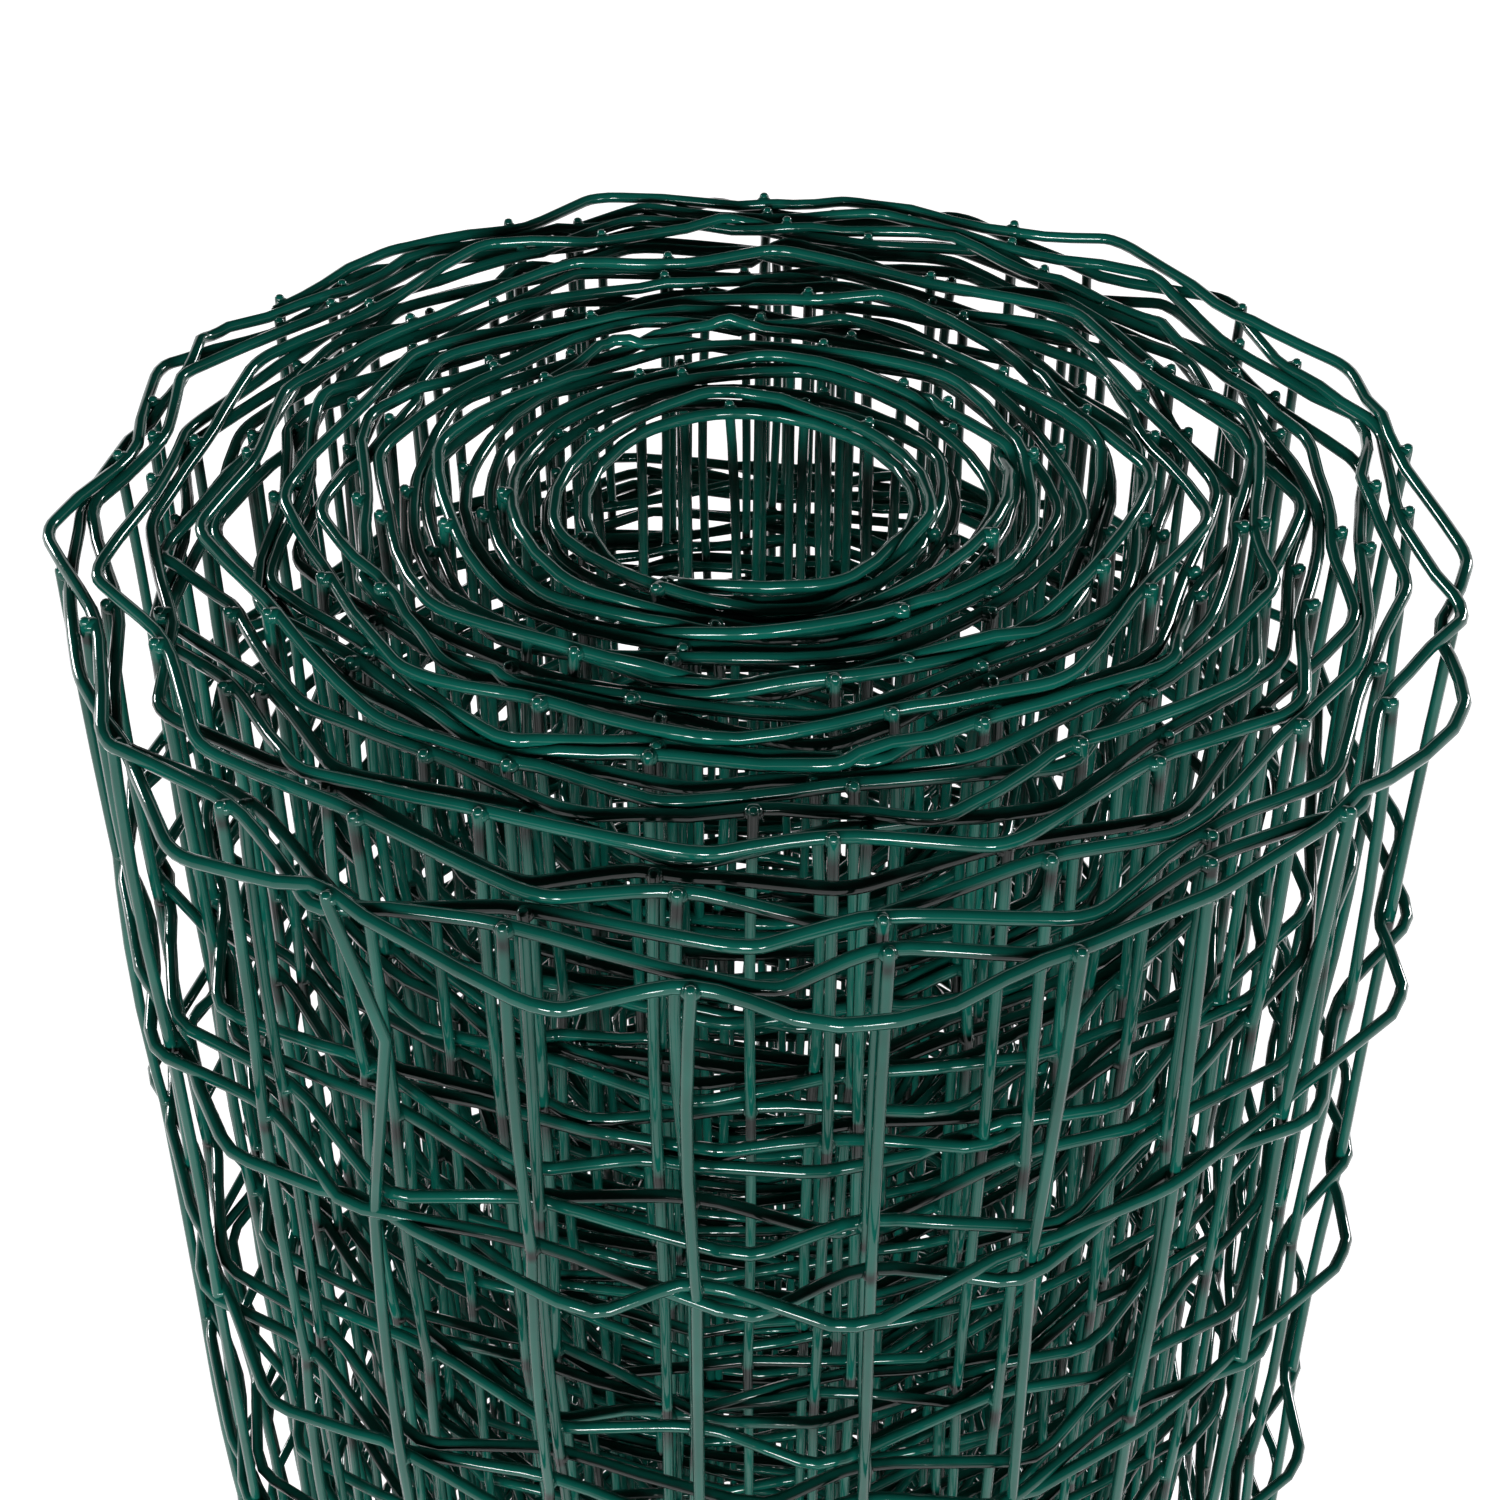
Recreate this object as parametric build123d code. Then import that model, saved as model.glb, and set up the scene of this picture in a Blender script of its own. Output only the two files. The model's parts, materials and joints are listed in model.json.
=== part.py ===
from build123d import *

import os

# Roll of welded wire fencing, standing on end: one turned solid with its bore.
#
# The fencing is a grid of coated wires. Line wires run along the fence, so in the roll they
# lie as rings, and stay wires cross them, so in the roll they stand upright. On each end of
# the roll the outermost line wire shows as a nest of turns, wound tight round the bore and
# looser towards the outside, and some of them are pressed together.
# Millimetres, +Z up, origin at the middle of the lower end.

# Wire and mesh of the fencing
WIRE_DIAMETER = 2.2
ROW_SPACING = 76.2
ROW_COUNT = 14
STAY_OVERHANG = 4.0

# Winding: the clear hole down the middle, and the turns round it
BORE_RADIUS = 30.0
TURN_COUNT = 28
INNERMOST_GAP = 1.1
OUTERMOST_GAP = 4.15
NESTED_EVERY = 5

# How deep the gap between two turns shows on the ends
TURN_GROOVE_DEPTH = 2.6

FENCE_HEIGHT = (ROW_COUNT - 1) * ROW_SPACING + 2 * STAY_OVERHANG


def gap_before(turn):
    """Clear gap between a turn and the one inside it; a nested turn lies pressed against it."""
    if turn % NESTED_EVERY == 0:
        return 0
    share = turn / (TURN_COUNT - 1)
    return INNERMOST_GAP + (OUTERMOST_GAP - INNERMOST_GAP) * share


def turn_inner_radii():
    """Radius of the bore side of each turn, from the bore out."""
    radii = [BORE_RADIUS]
    for turn in range(1, TURN_COUNT):
        radii.append(radii[-1] + WIRE_DIAMETER + gap_before(turn))
    return radii


def end_section():
    """Radius and depth of the points across one end: a ridge for each turn, a V for each gap.

    The first and last turns are flat out to their rims, so the roll stands on level edges.
    """
    radii = turn_inner_radii()
    points = [(BORE_RADIUS, 0)]
    for turn, inner in enumerate(radii):
        gap = gap_before(turn)
        if gap > 0:
            points.append((inner - gap / 2, TURN_GROOVE_DEPTH))
        points.append((inner + WIRE_DIAMETER / 2, 0))
    points.append((radii[-1] + WIRE_DIAMETER, 0))
    return points


def wound_roll():
    """The half section of the whole roll, turned once round its axis."""
    lower = end_section()
    upper = [(radius, FENCE_HEIGHT - depth) for radius, depth in lower]
    outline = Polyline(*lower, *reversed(upper), close=True)
    return revolve(Plane.XZ * make_face(outline), Axis.Z)


os.makedirs("parts", exist_ok=True)
fence_roll = wound_roll()
fence_roll.label = "fence_roll"
export_step(fence_roll, "parts/fence_roll.step")
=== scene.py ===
"""Roll of welded wire fencing: its wires, their coating, and a plain studio round it.

Metres, +Z up. A direction round the roll is an angle counted from the front, growing
towards the camera's right. The winding angle is counted along the spiral, from the bore out.
"""
import json
import math

import bpy
import numpy as np
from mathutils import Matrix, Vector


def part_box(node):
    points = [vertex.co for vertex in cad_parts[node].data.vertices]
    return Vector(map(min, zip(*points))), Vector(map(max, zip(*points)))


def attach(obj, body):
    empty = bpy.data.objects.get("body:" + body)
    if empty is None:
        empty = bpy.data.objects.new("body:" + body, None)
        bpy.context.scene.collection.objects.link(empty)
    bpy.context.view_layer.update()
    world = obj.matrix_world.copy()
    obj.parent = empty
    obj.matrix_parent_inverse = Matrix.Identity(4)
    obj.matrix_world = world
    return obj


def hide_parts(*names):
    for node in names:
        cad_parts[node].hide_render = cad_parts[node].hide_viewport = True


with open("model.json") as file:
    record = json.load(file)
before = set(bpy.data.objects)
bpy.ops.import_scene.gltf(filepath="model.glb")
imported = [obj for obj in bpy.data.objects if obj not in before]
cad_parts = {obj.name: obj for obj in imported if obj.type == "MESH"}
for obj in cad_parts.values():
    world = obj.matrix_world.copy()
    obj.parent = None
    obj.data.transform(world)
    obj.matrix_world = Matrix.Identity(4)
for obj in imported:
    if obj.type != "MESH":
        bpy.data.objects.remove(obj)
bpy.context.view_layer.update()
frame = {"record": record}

NODE = "fence_roll"
NODE_LOW, NODE_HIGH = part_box(NODE)
BORE = next(mount for mount in frame["record"]["mounts"] if mount["name"] == "bore")
FULL_TURN = 2 * math.pi
UP = np.array([0.0, 0.0, 1.0])

# Fencing. A stay wire stands past the edge by a stub, and is welded a step outside the line wires
WIRE = 0.0024
LINE_WIRE = 0.0027
ROWS = 14
CELL_WIDTH = 0.064
STUB = 0.0020
WELD_STEP = 0.0020

# Winding
TURNS = 28
TURN_STEPS = 720
BORE_RADIUS = BORE["dims"]["r_mm"] / 1000
START_DIRECTION = math.radians(-118)
FRONT_WELD_DIRECTION = math.radians(-4)
FRONT_ANGLE = (TURNS - 1) * FULL_TURN + (FRONT_WELD_DIRECTION - START_DIRECTION) % FULL_TURN

# Limits that keep the wires inside the solid
CLEARANCE = 0.0001
STAY_LIMIT = NODE_HIGH[0] - WIRE / 2 - CLEARANCE
LINE_LIMIT = STAY_LIMIT - WELD_STEP
BEAD_LIMIT = NODE_HIGH[0] - 0.0026
SOFT_EDGE = 0.0014

# Innermost turn, a little off centre
BORE_CLEARANCE = 0.0002
HOLLOW_SHIFT = 0.0005
NARROWEST_DIRECTION = math.radians(35)

# Outermost turn, nearly round
OUTER_RADIUS = 0.1404
FRONT_FULLNESS = 0.0014
FULLEST_DIRECTION = math.radians(-10)
OVALNESS = 0.0010
OVAL_PHASE = math.radians(160)

# Gaps between the turns
TIGHTEST_GAP = 0.0020
LOOSE_GAP = 0.0023
GAP_UNEVENNESS = 0.50
GAP_CONTRAST = 1.2
GAP_KNOTS = 2.3
CORE_TIGHTNESS = 0.45
CORE_TURNS = 3
OUTER_LOOSENESS = 0.80
OUTER_NESTING = 0.24

# Heights of the rows of line wires
BOTTOM_ROW = NODE_LOW[2] + 0.0031
TOP_ROW = NODE_HIGH[2] - 0.0060
HIGHEST_ROW = NODE_HIGH[2] - STUB - CLEARANCE
LOWEST_EDGE = TOP_ROW - 0.0125
DOME_DROP = 0.0064
DOME_RADIUS = 0.143
DOME_POWER = 1.5
WAVE = 0.0012
WAVE_KNOTS = 1.7
RIPPLE = 0.0012
RIPPLE_KNOTS = 9

# Crimps: how far a line wire stands out between two welds, and where its corner is
MEAN_CRIMP = 0.0038
CRIMP_SPREAD = 0.0024
CRIMP_RANGE = (-0.0024, 0.0080)
ROW_CRIMP_SPREAD = 0.0008
MEAN_CORNER = 0.53
CORNER_SPREAD = 0.075
CORNER_RANGE = (0.38, 0.74)
ROW_CORNER_SPREAD = 0.025
ROW_CORNER_RANGE = (-0.05, 0.05)
FRONT_CRIMPS = ((-3, -0.0030, 0.66), (-1, 0.0062, 0.72), (0, 0.0095, 0.42), (1, -0.0032, 0.49))
CORNER_ROUNDING = 0.14
WELD_ROUNDING = 0.30
WIDEST_BOW = 0.0036
MEAN_BOW_SHARE = 0.33
MEAN_CRIMP_SHARE = 0.40
LOOSENESS = 0.0007
LOOSE_KNOTS = 5

# Radius up to which the turns are nearly round, and the width over which corners grow
ROUND_UP_TO = 0.040
CORNERS_GROW_OVER = 0.065
INNER_CRIMP_SHARE = 0.38

# Stay wires: how far they lean, sway and bow, and the bent one at the front
STAY_LEAN = 0.0010
STAY_SWAY = 0.0010
STAY_JITTER = 0.0005
STAY_BOW = 0.0007
STAY_BOW_OUTWARD = 0.0002
BEND_REACH = 0.0085
BEND_SHARE = 0.65

# Pushing apart of turns that would overlap
PUSH_ROUNDS = 24
PUSHED_NEIGHBOURS = (1, 2)
PUSHED_APART = 1.02 * LINE_WIRE
PUSH_SHARE = 0.5
PUSH_WIDTH = 13
SMALLEST_DISTANCE = 1e-5

# Thicker coating at a weld
BEAD_PLACE = 0.45
BEAD_HALF_SIZES = np.array([0.00190, 0.00205, 0.00150])
BEAD_VARIATION = 0.07
BEAD_RANGE = (0.85, 1.15)

# Seeds of the random draws; where each row has its own draw, the row's number is added
GAP_SEED = 5
CELL_SEED = 23
WAVE_SEED = 41
STAY_SEED = 61
RIPPLE_SEED = 70
LOOSE_SEED = 100
BEAD_SEED = 300


def wander(angle, knots_per_turn, seed):
    """A smooth random wave along the winding, of about unit height."""
    place = angle / FULL_TURN * knots_per_turn + 2
    knots = np.random.default_rng(seed).normal(size=int(place.max()) + 4)
    left = np.floor(place).astype(int)
    part = place - left
    before, start, end, after = (knots[left + step] for step in (-1, 0, 1, 2))
    slope = (end - before) / 2
    bend = before - 2.5 * start + 2 * end - after / 2
    twist = (after - before) / 2 + 1.5 * (start - end)
    return start + part * (slope + part * (bend + part * twist))


def outline(direction):
    """Mean radius of the outermost turn: nearly round, and fullest at the front."""
    full = FRONT_FULLNESS * np.cos(direction - FULLEST_DIRECTION)
    return OUTER_RADIUS + full + OVALNESS * np.cos(2 * direction - OVAL_PHASE)


def hollow(direction):
    """Radius of the innermost turn: nearest the middle at the front right."""
    off_centre = HOLLOW_SHIFT * (1 - np.cos(direction - NARROWEST_DIRECTION))
    return BORE_RADIUS + LINE_WIRE / 2 + BORE_CLEARANCE + off_centre


def mean_spiral():
    """Winding angle and mean radius all along the spiral, with uneven gaps between turns."""
    angle = np.arange(TURNS * TURN_STEPS + 1) / TURN_STEPS * FULL_TURN
    uneven = np.tanh(GAP_CONTRAST * wander(angle, GAP_KNOTS, GAP_SEED))
    gap = TIGHTEST_GAP + LOOSE_GAP * np.exp(GAP_UNEVENNESS * uneven)
    facing = (1 + np.cos(START_DIRECTION + angle)) / 2
    spreading = OUTER_LOOSENESS * facing**2 - OUTER_NESTING
    gap *= 1 + spreading * (2 * angle / angle[-1] - 1)
    gap *= 1 - CORE_TIGHTNESS * np.exp(-angle / (CORE_TURNS * FULL_TURN))
    gaps = gap[:-1].reshape(TURNS, TURN_STEPS)
    share = np.arange(TURN_STEPS) / TURN_STEPS
    direction = START_DIRECTION + share * FULL_TURN
    inner = hollow(direction)
    room = outline(START_DIRECTION) - inner[0]
    scale = room / (gaps[:-1, 0].sum() + gaps[-1, 0] / 2)
    first = inner + scale * gaps[0, 0] * share
    last = outline(direction) + scale * gaps[-1, 0] * (share - 0.5)
    stretch = (last - first) / gaps[:-1].sum(axis=0)
    steps = np.vstack([first, gaps[:-1] * stretch])
    radius = np.cumsum(steps, axis=0).ravel()
    end = outline(START_DIRECTION) + scale * gaps[-1, 0] / 2
    return angle, np.append(radius, end)


ANGLE, RADIUS = mean_spiral()
LENGTH = np.append(0, np.cumsum((RADIUS[1:] + RADIUS[:-1]) / 2 * np.diff(ANGLE)))


def weld_angles():
    """Winding angle of every stay wire, one cell apart, with one at a chosen front direction."""
    front_length = np.interp(FRONT_ANGLE, ANGLE, LENGTH)
    places = np.arange(front_length % CELL_WIDTH, LENGTH[-1], CELL_WIDTH)
    return np.interp(places, LENGTH, ANGLE)


WELD_ANGLE = weld_angles()
STAYS = len(WELD_ANGLE)
WELD_RADIUS = np.interp(WELD_ANGLE, ANGLE, RADIUS)
FRONT_CELL = int(np.argmin(np.abs(WELD_ANGLE - FRONT_ANGLE)))
BENT_STAY = FRONT_CELL - 1


def stay_leans(chance):
    """Sideways shift of each stay wire at each row."""
    row = np.linspace(0, 1, ROWS)
    lean = chance.normal(0, STAY_LEAN, (STAYS, 1)) * (row - 0.5)
    sway = chance.normal(0, STAY_SWAY, (STAYS, 1)) * np.sin(FULL_TURN * (row + chance.random((STAYS, 1))))
    return lean + sway + chance.normal(0, STAY_JITTER, (STAYS, ROWS))


def cell_crimps(chance):
    """Crimp and corner of each cell at each row; those at the front are set one by one."""
    crimp = chance.normal(MEAN_CRIMP, CRIMP_SPREAD, (STAYS, 1)).clip(*CRIMP_RANGE)
    corner = chance.normal(MEAN_CORNER, CORNER_SPREAD, (STAYS, 1)).clip(*CORNER_RANGE)
    for step, front_crimp, front_corner in FRONT_CRIMPS:
        crimp[FRONT_CELL + step] = front_crimp
        corner[FRONT_CELL + step] = front_corner
    row_crimp = chance.normal(0, ROW_CRIMP_SPREAD, (STAYS, ROWS))
    row_corner = chance.normal(0, ROW_CORNER_SPREAD, (STAYS, ROWS)).clip(*ROW_CORNER_RANGE)
    return crimp + row_crimp, corner + row_corner


CHANCE = np.random.default_rng(CELL_SEED)
LEAN = stay_leans(CHANCE)
CRIMP, CORNER = cell_crimps(CHANCE)


def held_in(radius, limit):
    """Radius eased back so that it never passes a limit."""
    past = np.maximum(radius - (limit - SOFT_EDGE), 0)
    return radius - past + SOFT_EDGE * np.tanh(past / SOFT_EDGE)


def crimp_scale(radius):
    """Inner turns are wound tight and nearly round; outer ones keep their corners."""
    share = np.clip((radius - ROUND_UP_TO) / CORNERS_GROW_OVER, 0, 1)
    return INNER_CRIMP_SHARE + (1 - INNER_CRIMP_SHARE) * share * share * (3 - 2 * share)


def crimp_shape(reach, bow, crimp):
    """Outward offset of a line wire, from 0 at a weld (reach 0) to the corner (reach 1)."""
    steep = 1 / (1 - WELD_ROUNDING / 2)

    def plain(x):
        curved = x**2 / (2 * WELD_ROUNDING)
        straight = x - WELD_ROUNDING / 2
        return bow * x**2 + crimp * steep * np.where(x < WELD_ROUNDING, curved, straight)

    turn = 1 - CORNER_ROUNDING
    slope = 2 * bow * turn + crimp * steep
    past = np.maximum(reach - turn, 0)
    rounded = plain(np.full_like(reach, turn)) + slope * (past - past**2 / (2 * CORNER_ROUNDING))
    return np.where(reach < turn, plain(reach), rounded)


def crimped_radius(angle, row):
    """Radius of one row's line wire before the turns are set apart."""
    welds = WELD_ANGLE + LEAN[:, row] / WELD_RADIUS
    cell = np.clip(np.searchsorted(welds, angle, side="right") - 1, 0, STAYS - 2)
    share = np.clip((angle - welds[cell]) / (welds[cell + 1] - welds[cell]), 0, 1)
    corner = CORNER[cell, row]
    reach = np.where(share < corner, share / corner, (1 - share) / (1 - corner))
    radius = np.interp(angle, ANGLE, RADIUS)
    scale = crimp_scale(radius)
    bow = np.minimum((CELL_WIDTH / 2) ** 2 / (2 * radius), WIDEST_BOW) * scale
    offset = crimp_shape(reach, bow, CRIMP[cell, row] * scale)
    middle = bow * MEAN_BOW_SHARE + CRIMP.mean() * scale * MEAN_CRIMP_SHARE
    loose = LOOSENESS * wander(angle, LOOSE_KNOTS, LOOSE_SEED + row)
    return held_in(radius + offset - middle + loose, LINE_LIMIT)


def row_height(angle, row):
    """Height of one row's line wire; the rows lie flat at the foot and wavy at the top."""
    share = row / (ROWS - 1)
    dome = -DOME_DROP * (np.interp(angle, ANGLE, RADIUS) / DOME_RADIUS) ** DOME_POWER
    ripple = RIPPLE * wander(angle, RIPPLE_KNOTS, RIPPLE_SEED + row)
    wave = WAVE * wander(angle, WAVE_KNOTS, WAVE_SEED) + ripple
    height = BOTTOM_ROW + (TOP_ROW - BOTTOM_ROW) * share + (wave + dome) * share
    if row == ROWS - 1:
        height = np.clip(height, LOWEST_EDGE, HIGHEST_ROW)
    return height


def spread(field, width):
    """Smooth running mean of a field along the winding."""
    kernel = np.hanning(width + 2)
    padded = np.pad(field, width // 2 + 1, mode="edge")
    return np.convolve(padded, kernel / kernel.sum(), "valid")[: len(field)]


def separated(radius, height):
    """Shifts that push neighbouring turns of one row apart where their wires would overlap."""
    shape = (TURNS, TURN_STEPS)
    moved_r, moved_z = radius.copy(), height.copy()
    for _ in range(PUSH_ROUNDS):
        r, z = moved_r[:-1].reshape(shape), moved_z[:-1].reshape(shape)
        push_r, push_z = np.zeros(shape), np.zeros(shape)
        for step in PUSHED_NEIGHBOURS:
            dr, dz = r[step:] - r[:-step], z[step:] - z[:-step]
            distance = np.maximum(np.hypot(dr, dz), SMALLEST_DISTANCE)
            need = np.maximum(PUSHED_APART - distance, 0) * PUSH_SHARE
            push_r[step:] += need * dr / distance
            push_r[:-step] -= need * dr / distance
            push_z[step:] += need * dz / distance
            push_z[:-step] -= need * dz / distance
        moved_r[:-1] += spread(push_r.ravel(), PUSH_WIDTH)
        moved_z[:-1] += spread(push_z.ravel(), PUSH_WIDTH)
        moved_r[-1], moved_z[-1] = moved_r[-2], moved_z[-2]
        moved_r = np.clip(moved_r, BORE_RADIUS + LINE_WIRE / 2, LINE_LIMIT)
        moved_z = np.clip(moved_z, BOTTOM_ROW, HIGHEST_ROW)
    return moved_r - radius, moved_z - height


class Row:
    """One row's line wire, wound from the bore to the outside."""

    def __init__(self, row):
        self.row = row
        height = row_height(ANGLE, row)
        self.shift_r, self.shift_z = separated(crimped_radius(ANGLE, row), height)
        self.welds = WELD_ANGLE + LEAN[:, row] / WELD_RADIUS

    def at(self, angle):
        """Radius and height of the wire at some winding angles."""
        radius = crimped_radius(angle, self.row) + np.interp(angle, ANGLE, self.shift_r)
        height = row_height(angle, self.row) + np.interp(angle, ANGLE, self.shift_z)
        return np.clip(radius, BORE_RADIUS + LINE_WIRE / 2, LINE_LIMIT), height

    def angles(self, first, last, reaches):
        """Winding angles of the sample points from one weld to another, closest at the bends."""
        inward = np.array(reaches)
        corner = CORNER[first:last, self.row][:, None]
        start = self.welds[first:last][:, None]
        width = self.welds[first + 1:last + 1][:, None] - start
        rising = start + width * corner * inward
        falling = start + width * (1 - (1 - corner) * inward[-2:0:-1])
        return np.append(np.hstack([rising, falling]).ravel(), self.welds[last])


ROW_LINES = [Row(row) for row in range(ROWS)]


def on_roll(angle, radius, height):
    """Points from winding angle, radius and height."""
    direction = START_DIRECTION + angle
    return np.stack([radius * np.sin(direction), -radius * np.cos(direction), height], axis=-1)


def unit(vectors):
    """The same directions at length 1."""
    return vectors / np.linalg.norm(vectors, axis=-1, keepdims=True)


def tube(paths, sides, radii, side_way):
    """Vertices and faces of many closed tubes along paths of as many points each."""
    count, points = paths.shape[:2]
    along = unit(np.gradient(paths, axis=1))
    first = unit(side_way - (side_way * along).sum(axis=-1, keepdims=True) * along)
    second = np.cross(along, first)
    turn = np.arange(sides) / sides * FULL_TURN
    ring = first[:, :, None] * np.cos(turn)[:, None] + second[:, :, None] * np.sin(turn)[:, None]
    vertices = paths[:, :, None] + ring * np.broadcast_to(radii, (count, points))[:, :, None, None]
    index = np.arange(count * points * sides).reshape(count, points, sides)
    here, beside = index, np.roll(index, -1, axis=2)
    walls = np.stack([here[:, :-1], beside[:, :-1], beside[:, 1:], here[:, 1:]], axis=-1)
    ends = np.concatenate([index[:, 0, ::-1], index[:, -1]])
    return vertices.reshape(-1, 3), [walls.reshape(-1, 4), ends]


def bead_form(sides, rings):
    """A ball of unit radius: vertices and faces."""
    tilt = np.linspace(0, math.pi, rings + 2)[1:-1]
    turn = np.arange(sides) / sides * FULL_TURN
    flat = np.sin(tilt)[:, None]
    level = np.broadcast_to(np.cos(tilt)[:, None], (rings, sides))
    vertices = np.stack([flat * np.cos(turn), flat * np.sin(turn), level], axis=-1).reshape(-1, 3)
    index = np.arange(rings * sides).reshape(rings, sides)
    here, beside = index, np.roll(index, -1, axis=1)
    walls = np.stack([here[1:], beside[1:], beside[:-1], here[:-1]], axis=-1).reshape(-1, 4)
    return vertices, [walls, np.stack([index[0], index[-1, ::-1]])]


def beads(centres, direction, half_sizes, form):
    """One ball for each centre, stretched along, across and up the roll."""
    shape, faces = form
    along = np.stack([np.cos(direction), np.sin(direction), 0 * direction], axis=-1)
    outward = np.stack([np.sin(direction), -np.cos(direction), 0 * direction], axis=-1)
    upward = np.broadcast_to(UP, outward.shape)
    axes = np.stack([along, outward, upward], axis=1) * half_sizes[:, :, None]
    vertices = centres[:, None] + shape @ axes
    offset = np.arange(len(centres))[:, None, None] * len(shape)
    return vertices.reshape(-1, 3), [(face + offset).reshape(-1, face.shape[1]) for face in faces]


def joined(parts):
    """One set of vertices and faces from several."""
    vertices, faces, count = [], [], 0
    for points, groups in parts:
        vertices.append(points)
        faces += [group + count for group in groups]
        count += len(points)
    return np.vstack(vertices), faces


def make_piece(name, parts, material):
    """A smooth mesh object that rides on the roll's body and stands for its solid."""
    vertices, faces = joined(parts)
    widths = np.concatenate([np.full(len(group), group.shape[1]) for group in faces])
    corners = np.concatenate([group.ravel() for group in faces]).astype(np.int32)
    starts = np.append(0, np.cumsum(widths)[:-1]).astype(np.int32)
    mesh = bpy.data.meshes.new(name)
    mesh.vertices.add(len(vertices))
    mesh.vertices.foreach_set("co", vertices.astype(np.float32).ravel())
    mesh.loops.add(len(corners))
    mesh.loops.foreach_set("vertex_index", corners)
    mesh.polygons.add(len(starts))
    mesh.polygons.foreach_set("loop_start", starts)
    mesh.update(calc_edges=True)
    mesh.validate()
    mesh.shade_smooth()
    mesh.materials.append(material)
    piece = bpy.data.objects.new(name, mesh)
    bpy.context.collection.objects.link(piece)
    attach(piece, "root")
    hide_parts(NODE)
    print(name, "triangles", int((widths - 2).sum()))


# Sample points of a line wire, from a weld (0) to the corner (1)
FINE_REACHES = (0, 0.16, 0.36, 0.62, 0.86, 0.93, 1)
MIDDLE_REACHES = (0, 0.2, 0.4, 0.86, 1)
PLAIN_REACHES = (0, 0.4, 1)

# The outer free end of a line wire: cut ends a little past the last stay wire
END_STEPS = (0.0032, 0.0038, 0.0040)
END_RADII = np.array([0.92, 0.62, 0.12]) * LINE_WIRE / 2


def line_wire(row, first, last, reaches, sides):
    """One row's line wire between two welds."""
    line = ROW_LINES[row]
    angle = line.angles(first, last, reaches)
    path = on_roll(angle, *line.at(angle))
    radii = np.full(len(path), LINE_WIRE / 2)
    if last == STAYS - 1:
        onward = unit(path[-1] - path[-2])
        path = np.vstack([path] + [path[-1] + onward * step for step in END_STEPS])
        radii = np.append(radii, END_RADII)
    return tube(path[None], sides, radii[None], UP)


# Sample points of a stay wire between two rows, and its stubs from the tip inwards
STAY_ALONG_FINE = (0, 0.12, 0.4, 0.65, 0.88)
STAY_ALONG_PLAIN = (0, 0.5)
TIP_RISE = np.array([1.0, 0.93, 0.74, 0.42]) * STUB
TIP_RADII = np.array([0.14, 0.6, 0.9, 1.0]) * WIRE / 2


def stay_grid(chosen):
    """Winding angle, radius and height of the chosen stay wires at every row."""
    places = [line.at(line.welds) for line in ROW_LINES]
    angle = np.stack([line.welds for line in ROW_LINES], axis=1)[chosen]
    radius = np.stack([place[0] for place in places], axis=1)[chosen] + WELD_STEP
    height = np.stack([place[1] for place in places], axis=1)[chosen]
    return angle, radius, height


def stay_run(chosen, grid, fine_rows):
    """Angle, radius and height of each sample point between the rows, a little bowed."""
    radius = grid[1]
    chance = np.random.default_rng(STAY_SEED)
    radial_bow = chance.normal(STAY_BOW_OUTWARD, STAY_BOW, (STAYS, ROWS))[chosen]
    side_bow = chance.normal(0, STAY_BOW, (STAYS, ROWS))[chosen]
    bent = (chosen == BENT_STAY).astype(float)
    points = []
    for row in range(ROWS - 1):
        for share in STAY_ALONG_FINE if row >= fine_rows else STAY_ALONG_PLAIN:
            hump = 4 * share * (1 - share)
            side = hump * side_bow[:, row] / radius[:, row]
            if row == ROWS - 2:
                lean = min(share / BEND_SHARE, (1 - share) / (1 - BEND_SHARE))
                side += bent * BEND_REACH * lean / radius[:, row]
            plain = [field[:, row] * (1 - share) + field[:, row + 1] * share for field in grid]
            points.append((plain[0] + side, plain[1] + hump * radial_bow[:, row], plain[2]))
    return points


def stay_wires(chosen, fine_rows, sides):
    """Upright wires: welded to the outside of every line wire, with short stubs at both ends."""
    grid = stay_grid(chosen)
    angle, radius, height = grid
    foot = [(angle[:, 0], radius[:, 0], height[:, 0] - rise) for rise in TIP_RISE]
    head = [(angle[:, -1], radius[:, -1], height[:, -1] + rise) for rise in (0, *TIP_RISE[::-1])]
    body = stay_run(chosen, grid, fine_rows)
    angles, radii, heights = (np.stack(column, axis=1) for column in zip(*foot, *body, *head))
    paths = on_roll(angles, np.minimum(radii, STAY_LIMIT), heights)
    thickness = np.full(paths.shape[1], WIRE / 2)
    thickness[:len(TIP_RADII)] = TIP_RADII
    thickness[-len(TIP_RADII):] = TIP_RADII[::-1]
    outward = paths * [1, 1, 0]
    return tube(paths, sides, thickness, unit(outward))


def weld_beads(rows, chosen, form):
    """The thicker coating where a stay wire is welded to a line wire."""
    parts = []
    for row in rows:
        line = ROW_LINES[row]
        chance = np.random.default_rng(BEAD_SEED + row)
        angle = line.welds[chosen]
        radius, height = line.at(angle)
        centres = on_roll(angle, np.minimum(radius + WELD_STEP * BEAD_PLACE, BEAD_LIMIT), height)
        variation = chance.normal(1, BEAD_VARIATION, (len(angle), 3)).clip(*BEAD_RANGE)
        parts.append(beads(centres, START_DIRECTION + angle, BEAD_HALF_SIZES * variation, form))
    return joined(parts)


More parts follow.
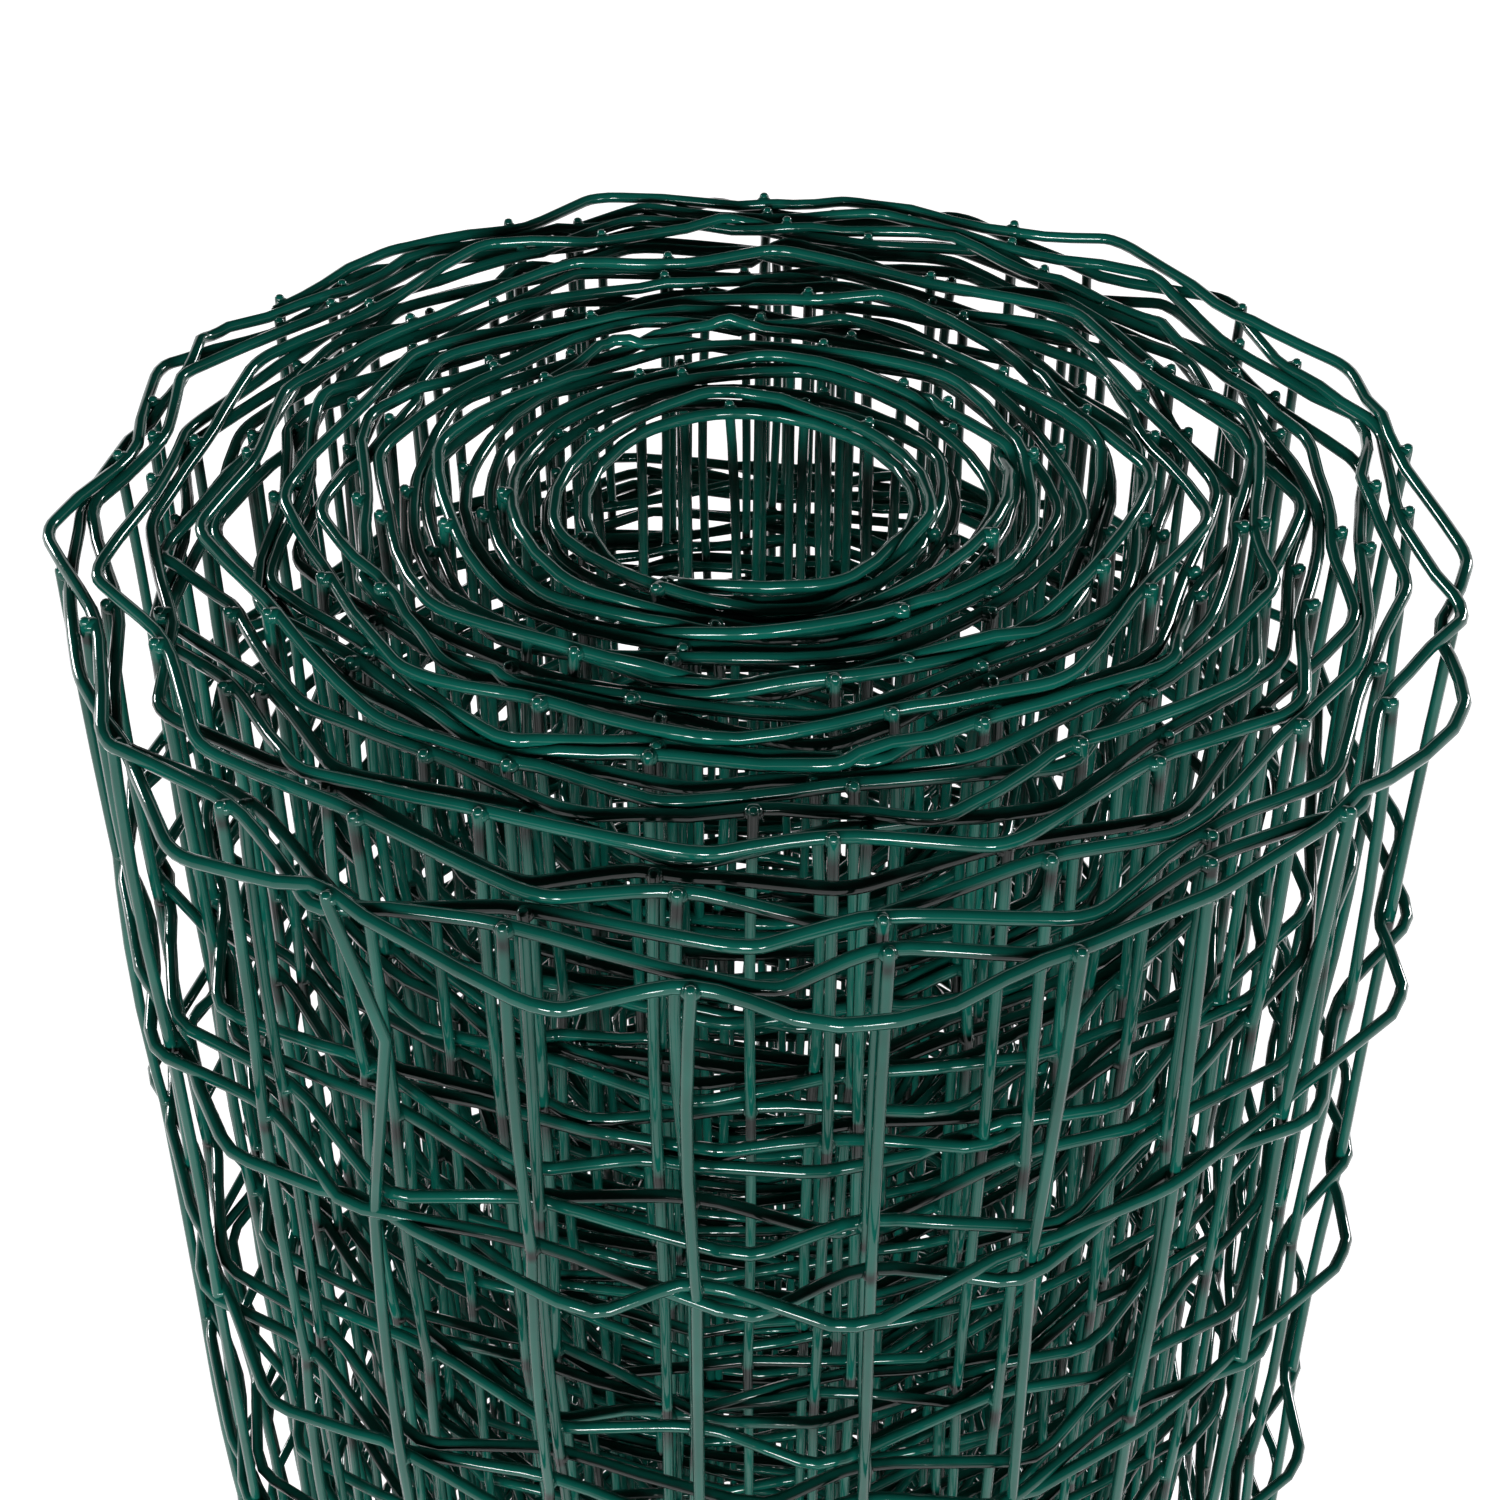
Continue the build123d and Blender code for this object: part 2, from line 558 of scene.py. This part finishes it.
# Coating: the number of noise waves a metre and their detail, and the ranges that they give
TONE_NOISE = (55, 4)
GLOSS_NOISE = (130, 3)
SURFACE_NOISE = (420, 2)
TONE_PLACES = (0.32, 0.70)
DEEP_GREEN = (0.0022, 0.064, 0.047, 1)
BRIGHT_GREEN = (0.0036, 0.098, 0.073, 1)
NOISE_RANGE = (0.3, 0.7)
ROUGHNESS_RANGE = (0.05, 0.10)
BUMP_STRENGTH = 0.07
BUMP_DEPTH = 0.0004
COATING_IOR = 1.5
SPECULAR_LEVEL = 0.45


def coated_wire_material():
    """Glossy green coating, a little uneven in tone, gloss and surface."""
    material = bpy.data.materials.new("coated_wire")
    material.use_nodes = True
    nodes, links = material.node_tree.nodes, material.node_tree.links
    shader = nodes["Principled BSDF"]
    place = nodes.new("ShaderNodeTexCoord")

    def noise(scale, detail):
        node = nodes.new("ShaderNodeTexNoise")
        node.inputs["Scale"].default_value = scale
        node.inputs["Detail"].default_value = detail
        links.new(place.outputs["Object"], node.inputs["Vector"])
        return node

    colours = nodes.new("ShaderNodeValToRGB")
    for stop, position, colour in zip(colours.color_ramp.elements, TONE_PLACES, (DEEP_GREEN, BRIGHT_GREEN)):
        stop.position = position
        stop.color = colour
    links.new(noise(*TONE_NOISE).outputs["Fac"], colours.inputs["Fac"])
    links.new(colours.outputs["Color"], shader.inputs["Base Color"])
    roughness = nodes.new("ShaderNodeMapRange")
    roughness.inputs["From Min"].default_value = NOISE_RANGE[0]
    roughness.inputs["From Max"].default_value = NOISE_RANGE[1]
    roughness.inputs["To Min"].default_value = ROUGHNESS_RANGE[0]
    roughness.inputs["To Max"].default_value = ROUGHNESS_RANGE[1]
    links.new(noise(*GLOSS_NOISE).outputs["Fac"], roughness.inputs["Value"])
    links.new(roughness.outputs["Result"], shader.inputs["Roughness"])
    bump = nodes.new("ShaderNodeBump")
    bump.inputs["Strength"].default_value = BUMP_STRENGTH
    bump.inputs["Distance"].default_value = BUMP_DEPTH
    links.new(noise(*SURFACE_NOISE).outputs["Fac"], bump.inputs["Height"])
    links.new(bump.outputs["Normal"], shader.inputs["Normal"])
    shader.inputs["IOR"].default_value = COATING_IOR
    shader.inputs["Specular IOR Level"].default_value = SPECULAR_LEVEL
    return material


# The outer turns and the edge are seen from close, so their wires have more sides and points
OUTER_TURNS = 5
OUTER_FIRST = int(np.searchsorted(WELD_ANGLE, (TURNS - OUTER_TURNS) * FULL_TURN))
CLOSE_SIDES = 8
SECOND_SIDES = 6
HIDDEN_SIDES = 5
CLOSE_BEAD = bead_form(10, 5)
PLAIN_BEAD = bead_form(8, 3)
FINE_ROWS_INSIDE = 3


def build_roll():
    """The whole roll, in six joined pieces of one coating."""
    coat = coated_wire_material()
    last = STAYS - 1
    edge = line_wire(ROWS - 1, 0, last, FINE_REACHES, CLOSE_SIDES)
    make_piece("edge_line_wire", [edge], coat)
    outer = [line_wire(row, OUTER_FIRST, last, MIDDLE_REACHES, CLOSE_SIDES) for row in range(ROWS - 1)]
    make_piece("line_wires_outside", outer, coat)
    inner = [line_wire(row, 0, OUTER_FIRST, PLAIN_REACHES, HIDDEN_SIDES) for row in range(ROWS - 2)]
    inner.append(line_wire(ROWS - 2, 0, OUTER_FIRST, MIDDLE_REACHES, SECOND_SIDES))
    make_piece("line_wires_inside", inner, coat)
    stays = np.arange(STAYS)
    outside, inside = stays[OUTER_FIRST:], stays[:OUTER_FIRST]
    make_piece("stay_wires_outside", [stay_wires(outside, 0, CLOSE_SIDES)], coat)
    first_fine = ROWS - 1 - FINE_ROWS_INSIDE
    make_piece("stay_wires_inside", [stay_wires(inside, first_fine, SECOND_SIDES)], coat)
    lumps = [weld_beads([ROWS - 1], stays, CLOSE_BEAD)]
    lumps.append(weld_beads(range(ROWS - 1), outside, PLAIN_BEAD))
    lumps.append(weld_beads([ROWS - 2, ROWS - 3], inside, PLAIN_BEAD))
    make_piece("weld_beads", lumps, coat)


# Studio: the floor's own colour where it is seen and where it lights the roll, and its glow
FLOOR_HALF = 12.0
FLOOR_SEEN = 0.95
FLOOR_LIGHTING = 0.05
FLOOR_GLOW = 0.86

# Surroundings: white up to one height and nearly black from another, and their light on the roll
WHITE_UP_TO = math.sin(math.radians(14))
DARK_FROM = math.sin(math.radians(20))
CEILING = 0.015
AMBIENT = 0.005


def seen_or_reflected(nodes, links):
    """1 for what the camera sees, directly or in a reflection, and 0 for light on the object."""
    ray = nodes.new("ShaderNodeLightPath")
    direct = nodes.new("ShaderNodeMath")
    direct.operation = "MAXIMUM"
    links.new(ray.outputs["Is Camera Ray"], direct.inputs[0])
    links.new(ray.outputs["Is Glossy Ray"], direct.inputs[1])
    both = nodes.new("ShaderNodeMath")
    both.operation = "MAXIMUM"
    links.new(direct.outputs[0], both.inputs[0])
    links.new(ray.outputs["Is Transmission Ray"], both.inputs[1])
    return both.outputs[0]


def studio_floor():
    """A floor that is seen white, keeps the roll's shadow and throws little light on the roll."""
    mesh = bpy.data.meshes.new("floor")
    corners = [(x * FLOOR_HALF, y * FLOOR_HALF, 0) for x, y in ((-1, -1), (1, -1), (1, 1), (-1, 1))]
    mesh.from_pydata(corners, [], [(0, 1, 2, 3)])
    floor = bpy.data.objects.new("floor", mesh)
    bpy.context.collection.objects.link(floor)
    material = bpy.data.materials.new("pale_floor")
    material.use_nodes = True
    nodes, links = material.node_tree.nodes, material.node_tree.links
    nodes.clear()
    seen = seen_or_reflected(nodes, links)
    white = nodes.new("ShaderNodeMapRange")
    white.inputs["To Min"].default_value = FLOOR_LIGHTING
    white.inputs["To Max"].default_value = FLOOR_SEEN
    links.new(seen, white.inputs["Value"])
    matt = nodes.new("ShaderNodeBsdfDiffuse")
    links.new(white.outputs["Result"], matt.inputs["Color"])
    glow = nodes.new("ShaderNodeEmission")
    lift = nodes.new("ShaderNodeMath")
    lift.operation = "MULTIPLY"
    lift.inputs[1].default_value = FLOOR_GLOW
    links.new(seen, lift.inputs[0])
    links.new(lift.outputs[0], glow.inputs["Strength"])
    both = nodes.new("ShaderNodeAddShader")
    output = nodes.new("ShaderNodeOutputMaterial")
    links.new(matt.outputs[0], both.inputs[0])
    links.new(glow.outputs[0], both.inputs[1])
    links.new(both.outputs[0], output.inputs["Surface"])
    mesh.materials.append(material)


def studio_world():
    """A white horizon where it is seen, directly or in a reflection, under a dark ceiling."""
    world = bpy.data.worlds.new("studio")
    bpy.context.scene.world = world
    world.use_nodes = True
    nodes, links = world.node_tree.nodes, world.node_tree.links
    nodes.clear()
    direction = nodes.new("ShaderNodeTexCoord")
    parts = nodes.new("ShaderNodeSeparateXYZ")
    links.new(direction.outputs["Generated"], parts.inputs["Vector"])
    horizon = nodes.new("ShaderNodeMapRange")
    horizon.interpolation_type = "SMOOTHSTEP"
    horizon.inputs["From Min"].default_value = WHITE_UP_TO
    horizon.inputs["From Max"].default_value = DARK_FROM
    horizon.inputs["To Min"].default_value = 1.0
    horizon.inputs["To Max"].default_value = CEILING
    links.new(parts.outputs["Z"], horizon.inputs["Value"])
    strength = nodes.new("ShaderNodeMapRange")
    strength.inputs["To Min"].default_value = AMBIENT
    links.new(seen_or_reflected(nodes, links), strength.inputs["Value"])
    links.new(horizon.outputs["Result"], strength.inputs["To Max"])
    background = nodes.new("ShaderNodeBackground")
    background.inputs["Color"].default_value = (1, 1, 1, 1)
    links.new(strength.outputs["Result"], background.inputs["Strength"])
    output = nodes.new("ShaderNodeOutputWorld")
    links.new(background.outputs[0], output.inputs["Surface"])


# Lamps: name, direction and elevation in degrees, and level
LAMP_WIDTH = 12
LAMPS = (
    ("front_left", -26, 7, 0.42),
    ("front", -4, 10, 0.55),
    ("front_right", 20, 7, 0.38),
    ("back_left", -128, 12, 0.40),
    ("back_right", 128, 12, 0.40),
)


def soft_light(name, direction, elevation, level):
    """A far soft light. At a level of 1 a surface that faces it renders in its own colour."""
    lamp = bpy.data.lights.new(name, "SUN")
    lamp.angle = math.radians(LAMP_WIDTH)
    lamp.energy = level * math.pi
    light = bpy.data.objects.new(name, lamp)
    light.rotation_euler = (math.radians(90 - elevation), 0, math.radians(direction))
    bpy.context.collection.objects.link(light)


# Camera: how far from the middle of the rim, from how high, and how far it looks down
RIM_HEIGHT = TOP_ROW - 0.0050
CAMERA_DISTANCE = 0.540
CAMERA_ELEVATION = math.radians(34)
CAMERA_TILT = math.radians(39)
CAMERA_LENS = 63.0
SENSOR_WIDTH = 36
CLIP_START = 0.01


def camera():
    """Looks down on the top of the roll from the front, close enough for a strong perspective."""
    data = bpy.data.cameras.new("camera")
    data.lens = CAMERA_LENS
    data.sensor_width = SENSOR_WIDTH
    data.clip_start = CLIP_START
    cam = bpy.data.objects.new("camera", data)
    reach = CAMERA_DISTANCE * math.cos(CAMERA_ELEVATION)
    rise = CAMERA_DISTANCE * math.sin(CAMERA_ELEVATION)
    cam.location = (0, -reach, RIM_HEIGHT + rise)
    cam.rotation_euler = (math.pi / 2 - CAMERA_TILT, 0, 0)
    bpy.context.collection.objects.link(cam)
    bpy.context.scene.camera = cam


build_roll()
studio_floor()
studio_world()
for lamp_values in LAMPS:
    soft_light(*lamp_values)
camera()
bpy.context.scene.view_settings.view_transform = "Standard"
